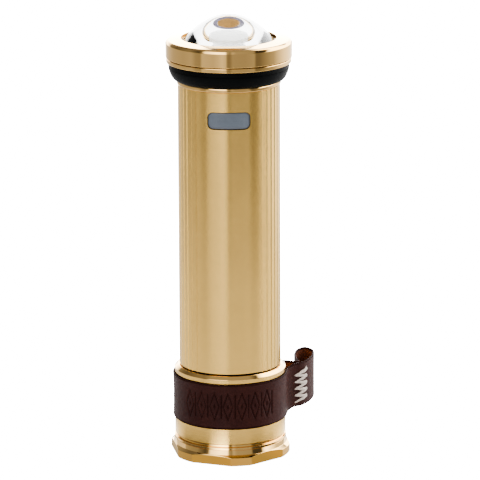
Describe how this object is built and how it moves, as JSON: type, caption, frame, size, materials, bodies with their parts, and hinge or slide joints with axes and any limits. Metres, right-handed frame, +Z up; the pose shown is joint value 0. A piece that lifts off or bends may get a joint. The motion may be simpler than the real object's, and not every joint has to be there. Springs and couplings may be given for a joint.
{
  "type": "pocket flashlight",
  "caption": "Brass pocket flashlight with a bull's-eye lens, side push button, rubber grip ring, fluted barrel, screw-on tail cap and a looped leather strap.",
  "frame": {"origin": "centre of the flat tail face that the flashlight stands on", "axes": "+Z up along the barrel towards the lens, -Y the side with the push button, the strap's loop towards +X and +Y"},
  "size_m": [0.0503, 0.0478, 0.1539],
  "materials": {
    "brushed_brass": "fine lathe brushing, satin",
    "polished_brass": "polished, warm gold",
    "black_rubber": "matte",
    "black_plastic": "matte",
    "steel": "nickel plated",
    "leather": "dark brown, waxed grain",
    "stitch_thread": "off-white twisted thread",
    "cell_wrap": "plain shrink wrap, no print",
    "button_grey": "satin bluish grey",
    "white_ceramic": "white ceramic",
    "circuit_board": "green solder mask",
    "aluminium": "turned",
    "phosphor": "orange-yellow phosphor",
    "led_resin": "grey resin dam",
    "reflector_mirror": "bright, smooth",
    "lens_glass": "clear optical glass"
  },
  "bodies": {
    "barrel": {"tail_collar": "brushed_brass", "collar_gasket": "black_rubber", "tube": "brushed_brass", "battery_sleeve": "black_plastic", "lower_cell": "cell_wrap", "lower_cell_terminal": "steel", "upper_cell": "cell_wrap", "upper_cell_terminal": "steel", "switch_body": "black_plastic", "switch_board": "circuit_board", "switch_carrier": "black_plastic", "switch_wire_left": "black_rubber", "switch_wire_right": "black_rubber", "front_contact_spring": "steel", "driver_board": "circuit_board", "driver_inductor": "black_plastic", "driver_chip": "black_plastic", "driver_capacitor": "white_ceramic", "driver_diode": "black_plastic", "driver_retainer": "brushed_brass", "heat_sink": "aluminium", "led_board": "white_ceramic", "board_screw_1": "steel", "board_screw_2": "steel", "led_lead_left": "black_rubber", "led_lead_right": "black_rubber", "led_package": "white_ceramic", "led_dam": "led_resin", "led_phosphor": "phosphor", "led_cup": "white_ceramic", "head_body": "polished_brass", "head_oring": "black_rubber", "grip_ring": "black_rubber", "reflector": "reflector_mirror", "bezel_gasket": "black_rubber"},
    "button": {"push_button": "button_grey", "switch_plunger": "white_ceramic"},
    "lens_unit": {"dome_lens": "lens_glass", "lens_gasket": "black_rubber"},
    "bezel_ring": {"bezel": "polished_brass"},
    "tail_contact": {"tail_spring": "steel"},
    "tail_unit": {"tail_cap": "polished_brass", "tail_cap_oring": "black_rubber", "tail_insulator": "black_plastic", "tail_contact_plate": "steel", "tail_contact_rivet": "steel"},
    "strap": {"leather_strap": "leather", "strap_stitches": "stitch_thread"}
  },
  "joints": [
    {"name": "button_press", "type": "slide", "parent": "barrel", "child": "button", "axis": [0, 1, 0], "range_m": [0, 0.0008], "stiffness_N_per_m": 700, "springref_m": -0.001},
    {"name": "lens_lift", "type": "slide", "parent": "barrel", "child": "lens_unit", "axis": [0, 0, 1], "range_m": [0, 0.003]},
    {"name": "bezel_unscrew", "type": "hinge", "parent": "lens_unit", "child": "bezel_ring", "pos_m": [0, 0, 0.1423], "axis": [0, 0, 1], "range_deg": [0, 1080]},
    {"name": "tail_contact_drop", "type": "slide", "parent": "barrel", "child": "tail_contact", "axis": [0, 0, -1], "range_m": [0, 0.0075]},
    {"name": "tail_cap_unscrew", "type": "hinge", "parent": "tail_contact", "child": "tail_unit", "pos_m": [0, 0, 0.0075], "axis": [0, 0, -1], "range_deg": [0, 1800]},
    {"name": "strap_turn", "type": "hinge", "parent": "barrel", "child": "strap", "pos_m": [0, 0, 0.02085], "axis": [0, 0, 1], "continuous": true}
  ],
  "couplings": [
    {"joint": "lens_lift", "follows": "bezel_unscrew", "m_per_rad": 0.00015915},
    {"joint": "tail_contact_drop", "follows": "tail_cap_unscrew", "m_per_rad": 0.00023873}
  ]
}
